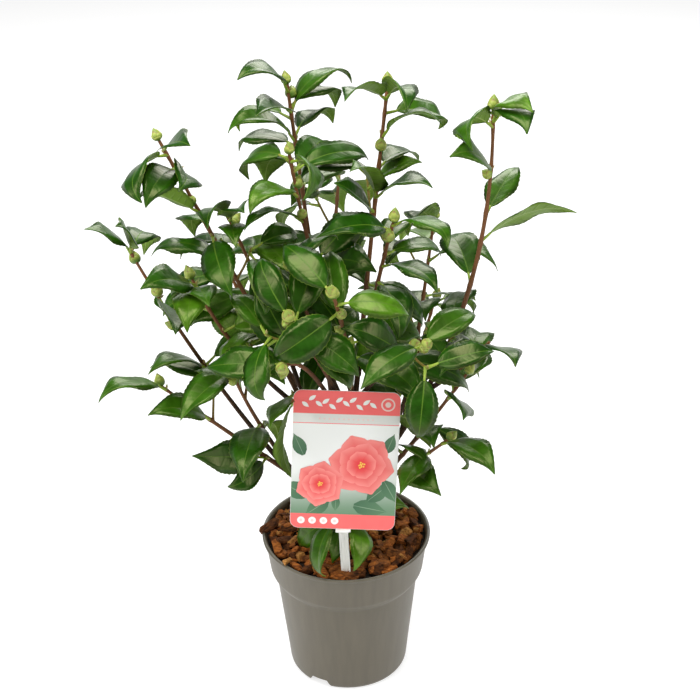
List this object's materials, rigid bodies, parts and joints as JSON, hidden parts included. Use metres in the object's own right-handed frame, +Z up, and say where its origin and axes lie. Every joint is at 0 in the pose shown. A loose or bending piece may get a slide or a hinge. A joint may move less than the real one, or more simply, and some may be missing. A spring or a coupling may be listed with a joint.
{
  "type": "potted camellia shrub",
  "caption": "Young evergreen camellia with several leafy shoots in bud, in a round nursery pot topped with bark mulch, with a plain plant label.",
  "frame": {"origin": "middle of the pot's flat underside", "axes": "+Z up along the pot's axis; -Y towards the face of the label; +X to the right as the label is read"},
  "size_m": [0.3898, 0.2893, 0.5682],
  "materials": {
    "pot_plastic": "satin moulded taupe-grey polypropylene with faint turning marks",
    "bark_mulch": "rough red-brown bark chips over dark growing medium",
    "label_card": "smooth printed plastic card, coral bands round a pale panel",
    "label_stake": "smooth white plastic",
    "stem_bark": "fine brown bark, redder on young shoots",
    "foliage": "glossy dark green leaves with paler undersides, yellow-green buds and stalks"
  },
  "bodies": {
    "root": {"pot": "pot_plastic", "bark_mulch": "bark_mulch", "label_card": "label_card", "label_stake": "label_stake", "trunk": "stem_bark", "left_bough": "stem_bark", "upper_left_bough": "stem_bark", "right_bough": "stem_bark", "back_left_bough": "stem_bark", "centre_bough": "stem_bark", "front_bough": "stem_bark", "right_low_bough": "stem_bark", "card_left_bough": "stem_bark", "card_right_bough": "stem_bark", "far_left_bough": "stem_bark", "left_inner_bough": "stem_bark", "left_side_bough": "stem_bark", "mid_left_bough": "stem_bark", "front_left_bough": "stem_bark", "front_low_bough": "stem_bark", "front_right_bough": "stem_bark", "inner_bough": "stem_bark", "inner_front_bough": "stem_bark", "inner_right_bough": "stem_bark", "right_side_bough": "stem_bark", "low_side_bough": "stem_bark", "back_right_bough": "stem_bark", "back_mid_bough": "stem_bark", "back_low_bough": "stem_bark", "back_low_right_bough": "stem_bark", "base_front_bough": "stem_bark", "left_foliage": "foliage", "upper_left_foliage": "foliage", "right_foliage": "foliage", "back_left_foliage": "foliage", "centre_foliage": "foliage", "front_foliage": "foliage", "right_low_foliage": "foliage", "card_left_foliage": "foliage", "card_right_foliage": "foliage", "far_left_foliage": "foliage", "left_inner_foliage": "foliage", "left_side_foliage": "foliage", "mid_left_foliage": "foliage", "front_left_foliage": "foliage", "front_low_foliage": "foliage", "front_right_foliage": "foliage", "inner_foliage": "foliage", "inner_front_foliage": "foliage", "inner_right_foliage": "foliage", "right_side_foliage": "foliage", "low_side_foliage": "foliage", "back_right_foliage": "foliage", "back_mid_foliage": "foliage", "back_low_foliage": "foliage", "back_low_right_foliage": "foliage", "base_front_foliage": "foliage"}
  },
  "joints": []
}
